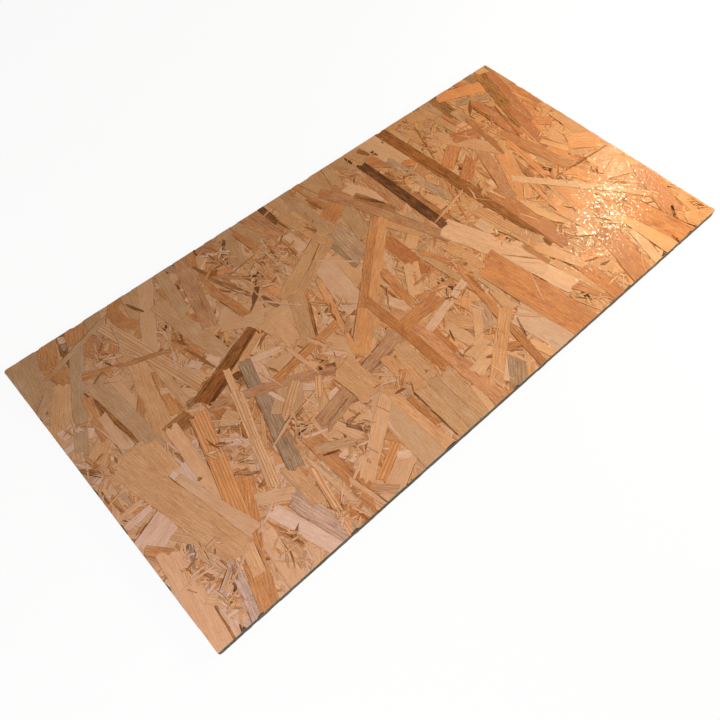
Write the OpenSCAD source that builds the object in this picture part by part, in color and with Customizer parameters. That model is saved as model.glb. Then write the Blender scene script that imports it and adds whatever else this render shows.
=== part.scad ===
// Oriented strand board: one cut panel lying flat, pressed from long thin wood strands.
// The length runs along X, the width along Y, and the underside lies at Z = 0.
// The faces are pressed flat. Strand ends dive under their neighbours, small voids stay
// open between strands, and the sawn edges show the gaps between the layers.

/* [Board] */
// Length of the cut board
board_length = 600; // [300:10:1250]
// Width of the cut board
board_width = 300; // [150:10:620]
// Thickness of the board
board_thickness = 9; // [6:0.5:25]

/* [Worn edges] */
// Radius of the most knocked upright corner, at the left rear
knocked_corner_r = 3; // [1:0.5:8]
// Radius of the other three upright corners
corner_r = 1.5; // [1:0.5:8]
// Width of the arris broken by the saw and by handling, all round both faces
arris = 0.4; // [0.2:0.1:0.8]
// Depth of a nick in the top arris, where a strand end has broken out
nick_depth = 1.2; // [0.6:0.1:2.5]

/* [Face strands] */
// Thickness of one strand, which is the drop where a strand dives under another
strand_thickness = 0.6; // [0.3:0.1:1]
// Width of the widest face strands
strand_width = 24; // [12:1:30]
// Visible length of the longest strand end that dips below the face
dip_length = 44; // [20:1:48]
// Distance between strand dips along the board
dip_pitch_x = 60; // [50:1:120]
// Distance between strand dips across the board
dip_pitch_y = 50; // [50:1:120]
// Largest angle between a face strand and the width of the board, which most of them follow
strand_swing = 35; // [0:1:60]
// Depth of the open voids between face strands
void_depth = 1.4; // [0.5:0.1:2]

/* [Sawn edges] */
// Distance between the gaps that show along the sawn edges
gap_pitch = 24; // [15:1:60]
// Length of the longest gap between two layers of strands
gap_length = 16; // [4:1:20]
// Height of the tallest gap
gap_height = 0.9; // [0.3:0.1:1.5]
// How far a gap runs into the board
gap_depth = 2.5; // [0.5:0.1:6]

/* [Hidden] */
$fn = 48;

half_length = board_length / 2;
half_width = board_width / 2;

// Cutters stand this far clear of the surface they cut
clear = 1;

// Round face in the middle of both sides that no dip cuts, where the board is borne
whole_face_r = 12;

// Dips stay this far inside the outline
dip_margin = 30;
// Most face strands run across the board
main_heading = 90;
TOP_SEED = 11;
UNDER_SEED = 47;

// Sawn-edge gaps stay this far from the corners and from both faces
gap_end_margin = 12;
gap_face_margin = 1.6;

// Nicks along the four top arrises: distance along the edge, clockwise seen from above, and length
REAR_NICKS = [[28, 6], [64, 14], [118, 9], [196, 12], [238, 8], [322, 16], [430, 7], [536, 10]];
FRONT_NICKS = [[40, 8], [135, 12], [290, 7], [365, 14], [470, 9], [560, 6]];
LEFT_NICKS = [[55, 8], [150, 12], [235, 6]];
RIGHT_NICKS = [[45, 10], [160, 6], [250, 9]];

// Open voids in the top face: centre x, centre y, heading, length and width
FACE_VOIDS = [
  [-100, -26, 40, 8, 4],
  [-148, -61, 20, 9, 4],
  [-145, 47, 75, 8, 3],
  [-175, 95, 20, 8, 4],
  [-80, 88, 10, 9, 3],
  [-32, -35, 15, 6, 3],
  [81, 140, 85, 9, 3],
  [108, 131, 75, 7, 3],
  [222, -4, 110, 9, 4],
  [269, -123, 42, 12, 3]
];

// Outline of the panel's section, with both arrises broken
module section(across) {
  half = across / 2;
  polygon([
    [-half + arris, 0],
    [half - arris, 0],
    [half, arris],
    [half, board_thickness - arris],
    [half - arris, board_thickness],
    [-half + arris, board_thickness],
    [-half, board_thickness - arris],
    [-half, arris]
  ]);
}

// One upright corner, worn to a radius, with the arrises carried round it
module worn_corner(radius) {
  rotate_extrude()
    polygon([
      [0, 0],
      [radius - arris, 0],
      [radius, arris],
      [radius, board_thickness - arris],
      [radius - arris, board_thickness],
      [0, board_thickness]
    ]);
}

// The pressed and sawn panel before any strand has broken out of it
module panel() {
  widest_r = max(knocked_corner_r, corner_r);
  // Full width between the corners, then full length between them
  rotate([90, 0, 90])
    linear_extrude(board_length - 2 * widest_r, center = true)
      section(board_width);
  rotate([90, 0, 0])
    linear_extrude(board_width - 2 * widest_r, center = true)
      section(board_length);
  for (sx = [-1, 1], sy = [-1, 1])
    corner_block(sx, sy, widest_r);
}

// Fills one corner square of the panel out to its own worn radius
module corner_block(sx, sy, square_r) {
  radius = sx < 0 && sy > 0 ? knocked_corner_r : corner_r;
  rest = square_r - radius;
  translate([sx * (half_length - radius), sy * (half_width - radius), 0]) {
    worn_corner(radius);
    if (rest > 0) {
      translate([-sx * rest / 2, 0, 0])
        rotate([90, 0, 90])
          linear_extrude(rest, center = true)
            section(2 * radius);
      translate([0, -sy * rest / 2, 0])
        rotate([90, 0, 0])
          linear_extrude(rest, center = true)
            section(2 * radius);
    }
  }
}

// Cutter for a strand end that dives under its neighbour: a ramp with its deep end at x = 0
module dip_cutter(length, width) {
  rise = clear / strand_thickness * length;
  rotate([90, 0, 0])
    linear_extrude(width, center = true)
      polygon([[0, -strand_thickness], [length + rise, clear], [0, clear]]);
}

// A field of dips over one face, one to a cell, each with its own heading and size
module dip_field(seed) {
  columns = floor((board_length - 2 * dip_margin) / dip_pitch_x);
  rows = floor((board_width - 2 * dip_margin) / dip_pitch_y);
  count = columns * rows;
  heading = rands(-strand_swing, strand_swing, count, seed);
  turned = rands(0, 2, count, seed + 1);
  reach = rands(0.55, 1, count, seed + 2);
  breadth = rands(0.4, 1, count, seed + 3);
  for (column = [0 : columns - 1], row = [0 : rows - 1]) {
    i = column * rows + row;
    x = (column - (columns - 1) / 2) * dip_pitch_x;
    y = (row - (rows - 1) / 2) * dip_pitch_y;
    length = dip_length * reach[i];
    width = strand_width * breadth[i];
    clear_of_centre = norm([x, y]) > whole_face_r + norm([length, width]) / 2;
    if (clear_of_centre)
      translate([x, y, 0])
        rotate(main_heading + heading[i] + 180 * floor(turned[i]))
          translate([-length / 2, 0, 0])
            dip_cutter(length, width);
  }
}

// Cutter for an open void between strands: a long sliver that closes to a point
module void_cutter(length, width) {
  translate([0, 0, -void_depth])
    linear_extrude(void_depth + clear)
      polygon([
        [-length / 2, -width / 2],
        [length / 2, -width / 4],
        [length / 3, width / 2],
        [-length / 3, width / 3]
      ]);
}

// Cutter for a nick, along X from the origin, that bites into the board towards -Y
module nick_cutter(length) {
  translate([0, 0, -strand_thickness])
    linear_extrude(strand_thickness + clear)
      polygon([
        [0, clear],
        [0, 0],
        [length * 0.2, -nick_depth],
        [length * 0.75, -nick_depth * 0.7],
        [length, 0],
        [length, clear]
      ]);
}

// Nicks along one top arris, laid along X with the board on the -Y side
module nick_row(nicks, edge_length) {
  for (nick = nicks)
    if (nick[0] + nick[1] < edge_length - knocked_corner_r)
      translate([nick[0] - edge_length / 2, 0, 0])
        nick_cutter(nick[1]);
}

// Cutter for a lens-shaped gap between layers, lying along X, that runs in towards -Y
module gap_cutter(length, height) {
  translate([0, clear, 0])
    rotate([90, 0, 0])
      linear_extrude(gap_depth + clear)
        polygon([
          [-length / 2, 0],
          [-length / 6, -height / 2],
          [length / 2, 0],
          [length / 5, height / 2]
        ]);
}

// Gaps along one sawn edge, laid along X with the board on the -Y side
module gap_row(edge_length, seed) {
  count = floor((edge_length - 2 * gap_end_margin) / gap_pitch);
  shift = rands(-0.12, 0.12, count, seed);
  level = rands(gap_face_margin, board_thickness - gap_face_margin, count, seed + 1);
  share = rands(0.4, 1, count, seed + 2);
  for (i = [0 : count - 1])
    translate([(i - (count - 1) / 2 + shift[i]) * gap_pitch, 0, level[i]])
      gap_cutter(gap_length * share[i], gap_height * share[i]);
}

// Puts what is drawn for one edge on each side: turn about Z, and the distance out
module on_edge(turn, reach) {
  rotate(turn)
    translate([0, reach, 0])
      children();
}

module board() {
  color("burlywood")
    difference() {
      panel();
      translate([0, 0, board_thickness]) {
        dip_field(TOP_SEED);
        for (v = FACE_VOIDS)
          translate([v[0], v[1], 0])
            rotate(v[2])
              void_cutter(v[3], v[4]);
        on_edge(0, half_width) nick_row(REAR_NICKS, board_length);
        on_edge(180, half_width) nick_row(FRONT_NICKS, board_length);
        on_edge(90, half_length) nick_row(LEFT_NICKS, board_width);
        on_edge(270, half_length) nick_row(RIGHT_NICKS, board_width);
      }
      mirror([0, 0, 1])
        dip_field(UNDER_SEED);
      on_edge(0, half_width) gap_row(board_length, 5);
      on_edge(180, half_width) gap_row(board_length, 15);
      on_edge(90, half_length) gap_row(board_width, 25);
      on_edge(270, half_length) gap_row(board_width, 35);
    }
}

board();
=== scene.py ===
# Oriented strand board, dressed. Every strand that shows on the two faces and in the sawn edges
# is a closed tile of its own, laid out in board millimetres and coloured by procedural wood.
import bisect
import math
import random

import bpy
from mathutils import Matrix, Vector
from mathutils.geometry import delaunay_2d_cdt


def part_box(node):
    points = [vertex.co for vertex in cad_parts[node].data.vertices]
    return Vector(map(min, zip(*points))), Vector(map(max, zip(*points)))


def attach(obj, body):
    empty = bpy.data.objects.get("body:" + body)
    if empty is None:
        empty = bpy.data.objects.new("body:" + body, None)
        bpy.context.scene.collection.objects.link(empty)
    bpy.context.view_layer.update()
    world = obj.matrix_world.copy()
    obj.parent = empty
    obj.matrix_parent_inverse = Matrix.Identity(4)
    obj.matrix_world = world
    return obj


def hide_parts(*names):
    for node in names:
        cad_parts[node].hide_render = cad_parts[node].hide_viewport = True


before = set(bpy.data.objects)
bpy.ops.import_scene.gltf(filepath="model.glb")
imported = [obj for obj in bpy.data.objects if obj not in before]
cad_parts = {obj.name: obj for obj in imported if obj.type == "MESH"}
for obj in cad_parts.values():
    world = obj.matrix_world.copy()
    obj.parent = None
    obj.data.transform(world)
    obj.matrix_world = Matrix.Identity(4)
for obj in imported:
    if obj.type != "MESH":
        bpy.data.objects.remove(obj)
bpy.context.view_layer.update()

MM = 0.001

# ---------------------------------------------------------------- board size, from the frame
LOW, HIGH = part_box("board")
HALF_L = (HIGH.x - LOW.x) / 2 / MM
HALF_W = (HIGH.y - LOW.y) / 2 / MM
THICK = (HIGH.z - LOW.z) / MM
MIDDLE = Vector(((LOW.x + HIGH.x) / 2, (LOW.y + HIGH.y) / 2, LOW.z))

# ---------------------------------------------------------------- making of the strands, in mm
SKIN = 0.9            # thickness of the strand tiles of a face
BAND = 1.2            # depth of the strand tiles of a sawn edge
SIDE_STEP = 14.0      # length of a straight run on a strand's side
WANDER = 0.7          # how far a side strays at most
TORN = 2.5            # how far the teeth of a broken end stand out at most
TOOTH = 3.5           # width of one such tooth
MOST_TEETH = 5        # teeth between the corners of an end
SLIVER = 6.0          # narrower strands may end in a point
RIM = 0.45            # width of a strand's crushed edge, and of the painted shade along it
RIM_DROP = 0.10       # how far that edge falls
BOWED = 0.04          # bow of a random strand, as a share of its length
SHADED = 0.45         # share of the strands with a dark slit beside them, a narrow gap with painted shadow in it
CHIPS_PER_MM2 = 0.10  # fine chips in a patch
LAYERS = 12           # layers of strand ends in a sawn edge
EDGE_GAPS = 90        # gaps between them, all round the board
ARC_STEPS = 4         # straight runs in a rounded corner

# ---------------------------------------------------------------- planar arrangement, in mm
CDT_GAP = 1e-4        # points nearer than this become one
STRAIGHT = 0.01       # a border point this near its neighbours' chord may go
SPILL = 1.02          # a strand that covers more than this of its outline is redrawn
TRIES = 8             # most rounds of such redrawing

# ---------------------------------------------------------------- bake layout, in mm
STRIP = 60.0          # longest row of walls
GUTTER = 0.6          # gap between islands
HIDDEN_SHARE = 0.1    # scale of what never shows
LEAST_RUN = 0.05      # shortest wall in a row
LEAST_FALL = 0.2      # lowest wall in a row
GROWTH = 1.01         # how much the square grows while the islands overflow it

# Nicks along the top arrises and radii of the upright corners, as in the part. A nick is its
# distance along the edge, clockwise seen from above, and its length.
NICK_DEPTH = 1.2
REAR_NICKS = [(28, 6), (64, 14), (118, 9), (196, 12), (238, 8), (322, 16), (430, 7), (536, 10)]
FRONT_NICKS = [(40, 8), (135, 12), (290, 7), (365, 14), (470, 9), (560, 6)]
LEFT_NICKS = [(55, 8), (150, 12), (235, 6)]
RIGHT_NICKS = [(45, 10), (160, 6), (250, 9)]
CORNER_R = 1.5
KNOCKED_R = 3.0
RADII = [CORNER_R, CORNER_R, CORNER_R, KNOCKED_R]  # counter-clockwise from the left front
RAGGED = 0.25         # depth of the saw's raggedness
INSET = 0.02          # how far inside the board a face ends
ON_CUT = 0.02         # a point this near the outline is on the saw cut
SAWN_ZONE = 4         # how far inside the board such a point can lie

# ---------------------------------------------------------------- studio, in metres
FLOOR = 6.0           # half the floor's size
FLOOR_DROP = 0.0002   # its gap under the board
FLOOR_GLOW = 0.92     # share of white in its look
SKY = 0.16            # strength of the surrounding light

# ---------------------------------------------------------------- tones of the wood
# piece family, display colour, strength of its growth lines
TONES = {
    "pale": ("pale", (209, 165, 135), 0.05),
    "straw": ("pale", (204, 152, 108), 0.15),
    "honey": ("honey", (203, 147, 98), 0.25),
    "amber": ("honey", (212, 144, 86), 0.20),
    "tan": ("honey", (189, 142, 100), 0.25),
    "orange": ("orange", (196, 127, 70), 0.30),
    "russet": ("orange", (179, 107, 43), 0.30),
    "rose": ("orange", (188, 131, 89), 0.15),
    "lined": ("lined", (214, 160, 112), 1.0),
    "figured": ("lined", (215, 141, 79), 1.0),
    "umber": ("brown", (182, 126, 86), 0.30),
    "brown": ("brown", (174, 109, 59), 0.40),
    "walnut": ("brown", (158, 94, 48), 0.35),
    "bark": ("brown", (128, 76, 36), 0.30),
    "grey": ("grey", (197, 152, 123), 0.35),
    "ash": ("grey", (169, 129, 96), 0.50),
    "shade": ("brown", (98, 55, 26), 0.20),
}
# What random strands draw their tones from; a tone that is named more often comes more often
FILL = (["honey"] * 5 + ["tan"] * 3 + ["straw"] * 5 + ["orange"] * 3
        + ["pale", "pale", "pale", "amber", "russet", "lined"])
LIGHT = ["pale", "pale", "straw", "straw", "honey", "tan"]
CHIP = ["honey", "straw", "straw", "pale", "pale", "orange", "orange", "tan", "amber", "brown"]
LIFT = 0.05           # spread of the lightness between strands of one tone
WARMTH = 0.03         # spread of their warmth

# Painted light: how the wood leans from its written tone at the corners of the board, paler and
# cooler at the front left, more orange at the rear right, as the warm light from the right would
# make it
PAINTED_LIGHT_LEAN = {
    (-1, 1): (0.82, 0.89, 0.95), (1, 1): (0.89, 0.72, 0.34),
    (-1, -1): (1.13, 1.23, 1.54), (1, -1): (1.18, 0.99, 0.52),
}

# ---------------------------------------------------------------- strands of the top face
# x and y of both ends, width, tone and bow, in board mm; each lies over those before it
STRANDS = [
    # left end, rear half
    (-282, 156, -292, 96, 36, "tan"), (-258, 156, -270, 126, 16, "orange"),
    (-230, 156, -243, 127, 18, "orange"), (-246, 152, -253, 130, 8, "brown"),
    (-214, 154, -222, 126, 15, "tan"), (-172, 154, -182, 112, 24, "honey"),
    (-247, 148, -249, 141, 6, "pale"), (-250, 140, -250, 134, 5, "grey"),
    (-268, 126, -264, 100, 16, "orange"), (-250, 130, -252, 112, 12, "brown"),
    (-236, 128, -226, 112, 22, "rose"), (-238, 118, -220, 124, 6, "orange", 6),
    (-232, 114, -226, 106, 5, "orange"), (-298, 60, -272, 106, 18, "honey"),
    (-302, 88, -280, 108, 8, "tan"), (-296, 64, -280, 64, 10, "pale"),
    (-290, 24, -262, 44, 15, "honey"), (-300, 50, -288, 50, 6, "pale"),
    (-280, 48, -273, 55, 6, "pale"), (-236, 90, -238, 28, 10, "straw"),
    (-222, 98, -216, 80, 12, "honey"), (-240, 34, -226, 52, 8, "orange"),
    (-206, 64, -214, 44, 9, "orange"), (-216, 46, -192, 24, 9, "straw"),
    (-213, 40, -216, 20, 9, "orange"), (-200, 96, -204, 20, 9, "honey"),
    (-184, 70, -180, 30, 9, "straw"), (-234, 2, -212, 86, 16, "honey"),
    (-242, 132, -290, 40, 12, "tan"), (-249, 104, -245, 0, 18, "tan"),
    (-260, 85, -252, 14, 4, "brown"), (-262, 80, -270, 36, 9, "orange"),
    (-261, 60, -264, 8, 8, "straw"), (-278, 118, -204, 141, 5, "tan"),
    (-279, 119, -271, 122, 4, "orange"), (-187, 156, -190, 112, 13, "orange", -12),
    (-157, 154, -197, 84, 14, "straw"), (-150, 140, -156, 84, 11, "orange"),
    (-157, 137, -149, 136, 5, "pale"), (-166, 124, -152, 32, 17, "tan"),
    (-186, 78, -176, 99, 8, "honey", -4), (-172, 72, -166, 50, 9, "orange"),
    (-180, 52, -174, 42, 8, "pale"), (-166, 46, -160, 36, 9, "pale"),
    (-174, 112, -172, 96, 4, "honey"), (-176, 80, -170, 66, 3, "brown"),
    (-173, 64, -166, 32, 3, "brown"), (-214, 134, -185, 27, 13, "lined"),
    (-255, 100, -222, 87, 7, "orange"), (-224, 88, -183, 73, 5, "orange"),
    (-186, 140, -179, 122, 3, "bark"), (-300, 30, -288, 14, 5, "brown"),
    (-291, 38, -286, 13, 4, "orange"), (-288, 8, -246, 9, 19, "honey"),
    (-230, 8, -208, 10, 15, "brown"),
    # rear half, left of the middle
    (-143, 154, -153, 94, 11, "tan"), (-136, 151, -131, 141, 8, "grey"),
    (-120, 154, -144, 70, 15, "rose"), (-108, 154, -117, 134, 9, "orange"),
    (-104, 152, -106, 142, 3, "bark"), (-96, 150, -88, 128, 20, "rose"),
    (-70, 154, -83, 106, 15, "tan"), (-58, 154, -52, 110, 13, "tan"),
    (-48, 154, -35, 106, 11, "rose"), (-64, 142, -60, 112, 7, "orange"),
    (-43, 152, -38, 122, 3, "rose"), (-37, 154, -26, 108, 9, "rose"),
    (-8, 154, -4, 112, 20, "tan"), (-6, 126, 2, 98, 10, "honey"), (-30, 106, -28, 80, 13, "pale"),
    (-36, 112, -34, 84, 5, "orange"), (-112, 32, -74, 38, 26, "straw"),
    (-134, 70, -100, 50, 26, "straw"), (-100, 8, -96, 36, 16, "straw"),
    (-121, 110, -113, 57, 9, "orange"), (-120, 122, -108, 108, 9, "orange"),
    (-117, 135, -112, 116, 4, "brown"), (-114, 113, -96, 68, 5, "umber"),
    (-101, 64, -87, 77, 5, "bark"), (-109, 59, -94, 67, 2, "bark"),
    (-92, 66, -87, 46, 5, "umber"), (-97, 120, -82, 127, 6, "walnut"),
    (-112, 112, -104, 118, 6, "brown"), (-106, 140, -80, 127, 5, "pale"),
    (-126, 110, -89, 131, 3, "orange"), (-111, 113, -72, 75, 4, "orange"),
    (-88, 94, -52, 113, 5, "honey"), (-98, 104, -68, 107, 1.5, "brown"),
    (-91, 104, -93, 64, 2, "tan"), (-120, 82, -90, 80, 1.5, "honey"),
    (-85, 133, -76, 142, 5, "bark"), (-87, 134, -76, 144, 2, "honey"),
    (-26, 154, -25, 124, 7, "bark"), (-30, 139, -19, 142, 2, "straw"),
    (-24, 124, -22, 110, 3, "brown"), (-24, 66, -36, -4, 24, "pale"),
    (-8, 58, -14, 16, 14, "straw"), (-3, 84, -4, 34, 8, "ash"), (-78, 46, 24, 92, 21, "honey"),
    (-42, 59, -12, 77, 1, "brown"), (-19, 130, -9, 76, 8, "honey"), (-27, 62, 4, 33, 3, "pale"),
    # the brown strip from (-60, 39) to (-84, -3) is painted shadow along the right side of the
    # honey strand
    (-68, 46, -92, -6, 16, "honey"), (-60, 39, -84, -3, 2.5, "brown"),
    (-42, 44, -58, -4, 5, "orange"), (-65, 34, -32, 0, 2, "honey"),
    (-141, 19, -113, 11, 6, "pale"), (-204, 20, -188, 18, 6, "umber"),
    (-195, 13, -118, 40, 16, "walnut"), (-116, 36, -163, 15.5, 7, "honey"),
    (-119, 41, -143, 29.5, 1.6, "shade"), (-140, 30.5, -161, 21.5, 1.8, "shade"),
    (-163, 19, -192, 7.5, 3, "shade"), (-176, 24, -191, 20, 1.6, "shade"),
    (-150, 35, -168, 28.5, 1.4, "shade"), (-161, 14, -153, 14, 7, "bark"),
    (-161, 7, -154, 7, 8, "umber"),
    # rear half, right of the middle
    (5, 154, 3, 84, 14, "tan"), (32, 154, 37, 122, 20, "tan"), (18, 154, 23, 106, 7, "orange"),
    (20, 140, 31, 106, 7, "tan"), (46, 154, 42, 110, 10, "tan"), (60, 154, 50, 120, 12, "tan"),
    (10, 82, 7, 34, 20, "grey"), (38, 100, 26, 54, 17, "tan"), (12, 94, 42, 107, 18, "orange"),
    (30, 126, 46, 94, 12, "orange"), (43, 122, 51, 102, 12, "orange"),
    (66, 152, 78, 122, 14, "tan"), (92, 154, 106, 110, 20, "tan"),
    (98, 145, 104, 133, 6, "brown"), (66, 142, 72, 132, 5, "orange"),
    # the brown strip from (53, 97) to (69, 72) is painted shade along the upper side of the umber
    # strand
    (54, 116, 71, 76, 14, "pale"), (51, 100, 70, 56, 13, "umber"), (53, 97, 69, 72, 4, "brown"),
    (79, 112, 77, 56, 11, "rose"), (46, 16, 64, 27, 12, "straw"), (44, 64, 67, 20, 8, "honey"),
    (94, 126, 136, 90, 15, "orange"), (114, 154, 122, 102, 25, "pale"),
    (98, 80, 116, 78, 9, "honey"), (100, 72, 113, 62, 10, "pale"),
    (104, 53, 113, 35, 10, "straw"), (120, 82, 136, 78, 15, "rose"),
    (112, 114, 120, 34, 10, "grey"), (70, 49, 84, 59, 3, "straw"), (68, 129, 89, 130, 2, "straw"),
    (36, 118, 86, -6, 11, "rose"), (38, 42, 37, -16, 15, "russet"),
    (94, 104, 101, -4, 10, "umber"), (87, 128, 92, 6, 11, "shade"), (81, 146, 82, 135, 3, "bark"),
    (107, 135, 109, 126, 3, "bark"), (121, 86, 133, 91, 2, "straw"), (119, 34, 135, 60, 6, "tan"),
    (112, 2, 135, 54, 3, "orange"), (144, 154, 150, 86, 7, "straw"),
    (134, 156, 153, -72, 14, "brown"), (128, 156, 146, -60, 3, "brown"),
    (86, 22, 138, 33, 3, "straw"),
    # right end, rear half
    (146, 152, 196, 134, 15, "honey"), (154, 134, 158, 108, 12, "honey"),
    (199, 154, 200, 122, 16, "grey"), (190, 148, 197, 96, 10, "tan"),
    (204, 124, 205, 102, 9, "orange"), (215, 156, 212, 112, 14, "umber"),
    (248, 154, 256, 140, 9, "orange"), (268, 156, 272, 138, 12, "ash"),
    (290, 156, 286, 134, 16, "pale"), (296, 128, 294, 106, 12, "honey"),
    (294, 112, 291, 66, 15, "orange"), (285, 104, 292, 68, 4, "honey"),
    (272, 106, 246, -12, 22, "amber"), (282, 82, 273, 48, 14, "orange"),
    (280, 50, 302, 57, 6, "honey"), (262, 60, 282, 38, 12, "orange"),
    (224, 104, 232, 120, 9, "honey"), (226, 134, 232, 112, 10, "honey"),
    (228, 126, 264, 110, 10, "grey"), (218, 147, 271, 127, 16, "amber"),
    (225, 104, 243, 121, 5, "brown"), (238, 116, 258, 106, 4, "straw"),
    (294, 140, 266, 56, 11, "russet"), (282, 144, 256, 56, 15, "umber"),
    (266, 84, 250, 18, 12, "russet"), (243, 114, 240, 48, 13, "russet"),
    (236, 110, 236, 76, 4, "brown"), (250, 106, 253, 96, 5, "honey"),
    (255, 96, 237, 42, 1.5, "brown"), (228, 62, 244, -20, 14, "orange"),
    (268, 34, 264, 12, 14, "straw"), (279, 32, 282, 8, 12, "straw"),
    (250, 28, 262, 0, 8, "straw"), (296, 48, 290, -22, 16, "honey"),
    (150, 66, 180, 84, 14, "orange"), (194, 62, 164, -16, 14, "rose"),
    (150, 41, 181, 60, 13, "russet"), (168, 113, 208, 50, 17, "straw"),
    (184, 91, 212, 80, 15, "russet"), (217, 120, 215, 102, 12, "grey"),
    (220, 93, 233, 92, 7, "honey"), (218, 100, 203, 0, 8, "russet"),
    (216, 54, 206, 28, 6, "honey"), (224, 50, 214, -10, 7, "figured"),
    (207, 42, 174, -18, 18, "amber"), (200, 3, 208, 12, 5, "brown"),
    (168, 131, 149, 84, 2.5, "brown"), (158, 30, 152, 16, 5, "honey"),
    # left end, front half
    (-240, -12, -242, -46, 22, "pale"), (-298, -58, -266, -47, 21, "pale"),
    (-298, -34, -274, -33, 6, "pale"), (-298, -25, -276, -24, 5, "straw"),
    (-293, -6, -292, -23, 4, "orange"), (-286, 0, -285, -23, 5, "tan"),
    (-299, -11, -282, -7, 2, "straw"), (-295, -44, -285, -40, 3, "orange"),
    (-297, -58, -284, -73, 8, "orange"), (-283, -118, -288, -156, 5, "brown"),
    (-285, -70, -297, -156, 19, "straw"), (-276, -62, -260, -86, 6, "honey"),
    (-270, -76, -277, -92, 4, "ash"), (-276, -94, -272, -108, 3, "brown"),
    (-284, -116, -268, -135, 8, "honey"), (-278, -123, -259, -111, 6, "grey"),
    (-273, -130, -261, -120, 2, "bark"), (-255, -104, -266, -156, 8, "grey"),
    (-262, -134, -268, -156, 8, "grey"), (-224, -104, -230, -156, 14, "straw"),
    (-218, -97, -209, -133, 4, "orange"), (-214, -110, -209, -130, 2, "brown"),
    (-234, -126, -212, -144, 3, "honey"), (-226, 12, -232, -62, 12, "straw"),
    (-236, -8, -236, -20, 3, "brown"), (-237, -39, -233, -39, 3, "brown"),
    (-206, -58, -238, -112, 14, "orange"), (-236, -98, -257, -156, 16, "orange"),
    (-238, -98, -246, -128, 11, "honey"), (-190, -8, -184, -20, 16, "honey"),
    (-206, -24, -190, -36, 8, "pale"), (-199, -14, -184, -26, 4, "umber"),
    (-187, -37, -182, -22, 4, "brown"), (-205, -46, -187, -46, 7, "rose"),
    (-213, -54, -197, -67, 3, "umber"), (-206, -44, -192, -60, 3, "honey"),
    (-204, -76, -196, -74, 4, "brown"), (-192, -70, -176, -77, 7, "pale"),
    (-214, -82, -184, -99, 11, "straw"), (-192, -98, -177, -156, 15, "grey"),
    (-179, -76, -179, -117, 13, "honey"), (-209, -97, -190, -156, 12, "pale"),
    (-165, -91, -178, -156, 6.5, "lined"), (-163, -78, -157, -156, 4, "straw"),
    (-203, 8, -232, -92, 15, "figured"), (-250, -30, -229, -101, 15, "straw"),
    (-272, 14, -246, -106, 25, "honey"), (-249, 14, -247, -20, 16, "honey"),
    (-98, -30, -90, -34, 8, "brown"), (-150, -6, -174, -82, 14, "ash"),
    (-184, -58, -166, -28, 4, "honey"), (-177, -57, -140, -42, 3, "straw"),
    # front half, left of the middle
    (-68, -40, 53, 63, 17, "amber"), (-34, -5, 49, 67, 8, "orange"),
    (-150, -40, -126, -20, 24, "tan"), (-136, 1, -112, -3, 14, "straw"),
    (-144, 23, -154, -8, 12, "ash"), (-192, 5, -93, -36, 9, "rose", 2.5),
    (-160.5, 26, -172, -8, 6, "straw"), (-168, 2, -196, -82, 10, "lined"),
    (-120, -80, -94, -86, 26, "straw"), (-80, -8, -66, -34, 18, "straw"),
    (-140, -150, -98, -130, 16, "straw"), (-148, -66, -146, -143, 16, "orange"),
    (-142, -134, -128, -148, 8, "rose"), (-147, -16, -144, -31, 5, "pale"),
    (-124, -30, -116, -38, 7, "pale"), (-152, -42, -124, -22, 8, "lined"),
    (-120, -47, -107, -31, 6, "lined"), (-154, -48, -116, -41, 2, "straw"),
    (-149, -49, -136, -46, 3, "umber"), (-137, -48, -140, -82, 4, "straw"),
    (-154, -66, -134, -74, 3, "pale"), (-154, -80, -110, -104, 8, "tan"),
    (-152, -88, -139, -94, 2, "bark"), (-140, -96, -132, -113, 8, "pale"),
    (-128, -72, -118, -98, 8, "straw"), (-119, -80, -107, -101, 7, "umber"),
    (-117, -81, -105, -80, 2, "brown"), (-142, -114, -126, -116, 6, "pale"),
    (-101, -119, -133, -134, 8, "figured"), (-109, -127, -99, -134, 7, "pale"),
    (-104, -109, -96, -120, 7, "orange"), (-137, -11, -60, -2, 8, "orange"),
    (-133, 3, -130, -6, 3, "brown"), (-109, 8, -105, -30, 5, "straw"),
    (-90, 4, -84, -14, 5, "straw"), (-91, -12, -76, -32, 6, "pale"),
    (-135, -68, -26, -46, 16, "rose"), (-132, -70, -104, -64, 2, "umber"),
    (-74, -58, -36, -54, 2, "umber"), (-50, -56, -52, -98, 18, "honey"),
    (-36, -54, -38, -98, 13, "tan"), (-62, -76, -66, -98, 10, "grey"),
    (-50, -74, -67, -85, 6, "russet"), (-74, -60, -56, -77, 4, "straw"),
    (-86, -60, -88, -156, 23, "straw"), (-74, -80, -142, -127, 12, "straw"),
    (-73, -78, -73, -156, 10, "honey"), (-88, -37, -84, -75, 25, "honey"),
    # the bark line from (-82, -71) to (-73, -72) is painted shadow at the end of the honey strand
    # above it
    (-82, -71, -73, -72, 1, "bark"), (-66, -96, -65, -130, 6, "russet"),
    (-52, -97, -54, -156, 14, "honey"), (-38, -96, -44, -156, 13, "tan"),
    (-28, -100, -30, -156, 14, "tan"), (-60, -96, -61, -147, 1.5, "bark"),
    (-18, -124, -24, -152, 7, "straw"), (-12, -22, -11, -156, 14, "rose"),
    (-12, -12, -2, -32, 11, "pale"), (-14, -19, -1, -3, 2, "orange"),
    (-2, -62, -4, -92, 6, "russet"), (-4, -58, 14, -52, 5, "straw"),
    (-41, 46, -69, -37, 6, "amber"), (-72, -36, -58, -46, 2, "honey"),
    (-46, -2, -62, -16, 5, "rose"), (-25, 0, -22, -99, 10, "russet"),
    (-154, -122, -127, -109, 3, "straw"), (-150, -117, -142, -154, 4, "straw"),
    # front half, right of the middle
    (12, -28, 34, 2, 14, "straw"), (30, -20, 34, -31, 22, "straw"),
    (40, -50, 44, -72, 20, "amber"), (76, -4, 78, -46, 14, "honey"),
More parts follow.
